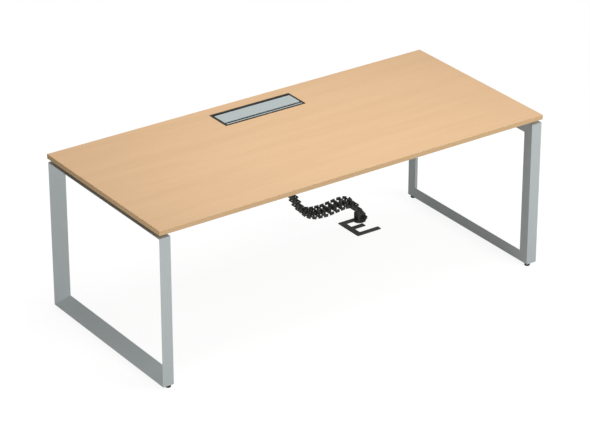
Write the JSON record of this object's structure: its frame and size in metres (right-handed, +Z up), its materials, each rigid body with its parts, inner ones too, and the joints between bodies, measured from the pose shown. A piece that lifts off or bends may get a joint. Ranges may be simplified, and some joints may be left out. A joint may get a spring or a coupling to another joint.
{
  "type": "office desk",
  "caption": "Long office desk: a beech board on closed silver steel loops at its ends, a lidded power unit near its back edge and a black cable chain down to a floor plate.",
  "frame": {"origin": "on the floor under the middle of the board", "axes": "+X along the board's length, -Y towards the sitter, +Z up"},
  "size_m": [2, 0.9, 0.7475],
  "materials": {
    "beech_board": "satin beech laminate",
    "beech_edge": "satin beech edge band",
    "silver_paint": "fine silver powder coat",
    "dark_paint": "black powder coat",
    "silver_lid": "brushed and anodised",
    "black_plastic": "fine grain",
    "glide_plastic": "smooth",
    "chain_plastic": "satin moulded",
    "brush_fibre": "dense black bristle",
    "zinc_steel": "zinc plated"
  },
  "bodies": {
    "desk": {"desktop_board": "beech_board", "edge_bands": "beech_edge", "rail_spacers": "black_plastic", "glide_nuts": "zinc_steel", "front_beam": "dark_paint", "back_beam": "dark_paint", "beam_brackets": "dark_paint", "beam_bolts": "zinc_steel", "wood_screws": "zinc_steel", "unit_frame": "black_plastic", "lid_hinge_pins": "zinc_steel", "front_strip": "silver_lid", "brush_strip": "brush_fibre", "cable_tray": "dark_paint", "socket_bar": "black_plastic", "socket_cups": "black_plastic", "chain_hanger": "chain_plastic", "hanger_bolts": "zinc_steel", "left_front_post": "silver_paint", "left_back_post": "silver_paint", "left_top_rail": "silver_paint", "left_bottom_rail": "silver_paint", "right_front_post": "silver_paint", "right_back_post": "silver_paint", "right_top_rail": "silver_paint", "right_bottom_rail": "silver_paint"},
    "lid": {"unit_lid": "silver_lid"},
    "left_front_glide": {"left_front_glide": "glide_plastic"},
    "left_back_glide": {"left_back_glide": "glide_plastic"},
    "right_front_glide": {"right_front_glide": "glide_plastic"},
    "right_back_glide": {"right_back_glide": "glide_plastic"},
    "chain_link_01": {"chain_link_01": "chain_plastic"},
    "chain_link_02": {"chain_link_02": "chain_plastic"},
    "chain_link_03": {"chain_link_03": "chain_plastic"},
    "chain_link_04": {"chain_link_04": "chain_plastic"},
    "chain_link_05": {"chain_link_05": "chain_plastic"},
    "chain_link_06": {"chain_link_06": "chain_plastic"},
    "chain_link_07": {"chain_link_07": "chain_plastic"},
    "chain_link_08": {"chain_link_08": "chain_plastic"},
    "chain_link_09": {"chain_link_09": "chain_plastic"},
    "chain_link_10": {"chain_link_10": "chain_plastic"},
    "chain_link_11": {"chain_link_11": "chain_plastic"},
    "chain_link_12": {"chain_link_12": "chain_plastic"},
    "chain_link_13": {"chain_link_13": "chain_plastic"},
    "chain_link_14": {"chain_link_14": "chain_plastic"},
    "chain_link_15": {"chain_link_15": "chain_plastic"},
    "chain_link_16": {"chain_link_16": "chain_plastic"},
    "chain_link_17": {"chain_link_17": "chain_plastic"},
    "chain_link_18": {"chain_link_18": "chain_plastic"},
    "chain_link_19": {"chain_link_19": "chain_plastic"},
    "chain_link_20": {"chain_link_20": "chain_plastic"},
    "chain_link_21": {"chain_link_21": "chain_plastic"},
    "chain_link_22": {"chain_link_22": "chain_plastic"},
    "chain_link_23": {"chain_link_23": "chain_plastic"},
    "chain_link_24": {"chain_link_24": "chain_plastic"},
    "chain_link_25": {"chain_link_25": "chain_plastic"},
    "chain_ankle": {"chain_ankle": "chain_plastic"},
    "floor_foot": {"floor_plate": "dark_paint", "ankle_clevis": "chain_plastic", "ankle_pin": "black_plastic"}
  },
  "joints": [
    {"name": "lid_hinge", "type": "hinge", "parent": "desk", "child": "lid", "pos_m": [0, 0.275, 0.739], "axis": [1, 0, 0], "range_deg": [0, 92]},
    {"name": "left_front_glide_screw", "type": "slide", "parent": "desk", "child": "left_front_glide", "axis": [0, 0, -1], "range_m": [0, 0.012]},
    {"name": "left_back_glide_screw", "type": "slide", "parent": "desk", "child": "left_back_glide", "axis": [0, 0, -1], "range_m": [0, 0.012]},
    {"name": "right_front_glide_screw", "type": "slide", "parent": "desk", "child": "right_front_glide", "axis": [0, 0, -1], "range_m": [0, 0.012]},
    {"name": "right_back_glide_screw", "type": "slide", "parent": "desk", "child": "right_back_glide", "axis": [0, 0, -1], "range_m": [0, 0.012]},
    {"name": "chain_hinge_01", "type": "hinge", "parent": "desk", "child": "chain_link_01", "pos_m": [0.1505, 0.372, 0.5496], "axis": [0, -1, 0], "range_deg": [0, 3]},
    {"name": "chain_hinge_02", "type": "hinge", "parent": "chain_link_01", "child": "chain_link_02", "pos_m": [0.1505, 0.372, 0.5181], "axis": [0, -1, 0], "range_deg": [0, 3]},
    {"name": "chain_hinge_03", "type": "hinge", "parent": "chain_link_02", "child": "chain_link_03", "pos_m": [0.1505, 0.372, 0.4866], "axis": [0, -1, 0], "range_deg": [0, 3]},
    {"name": "chain_hinge_04", "type": "hinge", "parent": "chain_link_03", "child": "chain_link_04", "pos_m": [0.15106, 0.372, 0.4551], "axis": [0, -1, 0], "range_deg": [0, 3]},
    {"name": "chain_hinge_05", "type": "hinge", "parent": "chain_link_04", "child": "chain_link_05", "pos_m": [0.15381, 0.372, 0.42373], "axis": [0, -1, 0], "range_deg": [0, 3]},
    {"name": "chain_hinge_06", "type": "hinge", "parent": "chain_link_05", "child": "chain_link_06", "pos_m": [0.15875, 0.372, 0.39261], "axis": [0, -1, 0], "range_deg": [0, 3]},
    {"name": "chain_hinge_07", "type": "hinge", "parent": "chain_link_06", "child": "chain_link_07", "pos_m": [0.16584, 0.372, 0.36192], "axis": [0, -1, 0], "range_deg": [0, 3]},
    {"name": "chain_hinge_08", "type": "hinge", "parent": "chain_link_07", "child": "chain_link_08", "pos_m": [0.17506, 0.372, 0.3318], "axis": [0, -1, 0], "range_deg": [0, 3]},
    {"name": "chain_hinge_09", "type": "hinge", "parent": "chain_link_08", "child": "chain_link_09", "pos_m": [0.18636, 0.372, 0.3024], "axis": [0, -1, 0], "range_deg": [0, 3]},
    {"name": "chain_hinge_10", "type": "hinge", "parent": "chain_link_09", "child": "chain_link_10", "pos_m": [0.19968, 0.372, 0.27385], "axis": [0, -1, 0], "range_deg": [0, 3]},
    {"name": "chain_hinge_11", "type": "hinge", "parent": "chain_link_10", "child": "chain_link_11", "pos_m": [0.21496, 0.372, 0.24631], "axis": [0, -1, 0], "range_deg": [0, 3]},
    {"name": "chain_hinge_12", "type": "hinge", "parent": "chain_link_11", "child": "chain_link_12", "pos_m": [0.23024, 0.372, 0.21876], "axis": [0, -1, 0], "range_deg": [0, 3]},
    {"name": "chain_hinge_13", "type": "hinge", "parent": "chain_link_12", "child": "chain_link_13", "pos_m": [0.24552, 0.372, 0.19122], "axis": [0, -1, 0], "range_deg": [0, 3]},
    {"name": "chain_hinge_14", "type": "hinge", "parent": "chain_link_13", "child": "chain_link_14", "pos_m": [0.2608, 0.372, 0.16367], "axis": [0, -1, 0], "range_deg": [0, 3]},
    {"name": "chain_hinge_15", "type": "hinge", "parent": "chain_link_14", "child": "chain_link_15", "pos_m": [0.28239, 0.372, 0.14073], "axis": [0, -1, 0], "range_deg": [0, 3]},
    {"name": "chain_hinge_16", "type": "hinge", "parent": "chain_link_15", "child": "chain_link_16", "pos_m": [0.30896, 0.372, 0.12381], "axis": [0, -1, 0], "range_deg": [0, 3]},
    {"name": "chain_hinge_17", "type": "hinge", "parent": "chain_link_16", "child": "chain_link_17", "pos_m": [0.33887, 0.372, 0.11395], "axis": [0, -1, 0], "range_deg": [0, 3]},
    {"name": "chain_hinge_18", "type": "hinge", "parent": "chain_link_17", "child": "chain_link_18", "pos_m": [0.3703, 0.372, 0.11175], "axis": [0, -1, 0], "range_deg": [0, 3]},
    {"name": "chain_hinge_19", "type": "hinge", "parent": "chain_link_18", "child": "chain_link_19", "pos_m": [0.40172, 0.372, 0.10955], "axis": [0, -1, 0], "range_deg": [0, 3]},
    {"name": "chain_hinge_20", "type": "hinge", "parent": "chain_link_19", "child": "chain_link_20", "pos_m": [0.43305, 0.372, 0.11285], "axis": [0, -1, 0], "range_deg": [0, 3]},
    {"name": "chain_hinge_21", "type": "hinge", "parent": "chain_link_20", "child": "chain_link_21", "pos_m": [0.46437, 0.372, 0.11614], "axis": [0, -1, 0], "range_deg": [0, 3]},
    {"name": "chain_hinge_22", "type": "hinge", "parent": "chain_link_21", "child": "chain_link_22", "pos_m": [0.4957, 0.372, 0.11943], "axis": [0, -1, 0], "range_deg": [0, 3]},
    {"name": "chain_hinge_23", "type": "hinge", "parent": "chain_link_22", "child": "chain_link_23", "pos_m": [0.52716, 0.372, 0.11778], "axis": [0, -1, 0], "range_deg": [0, 3]},
    {"name": "chain_hinge_24", "type": "hinge", "parent": "chain_link_23", "child": "chain_link_24", "pos_m": [0.55676, 0.372, 0.10701], "axis": [0, -1, 0], "range_deg": [0, 3]},
    {"name": "chain_hinge_25", "type": "hinge", "parent": "chain_link_24", "child": "chain_link_25", "pos_m": [0.57784, 0.372, 0.0836], "axis": [0, -1, 0], "range_deg": [0, 3]},
    {"name": "chain_hinge_26", "type": "hinge", "parent": "chain_link_25", "child": "chain_ankle", "pos_m": [0.59065, 0.372, 0.05482], "axis": [0, -1, 0], "range_deg": [0, 3]},
    {"name": "chain_hinge_27", "type": "hinge", "parent": "chain_ankle", "child": "floor_foot", "pos_m": [0.61004, 0.372, 0.03], "axis": [0, -1, 0], "range_deg": [0, 3]}
  ]
}
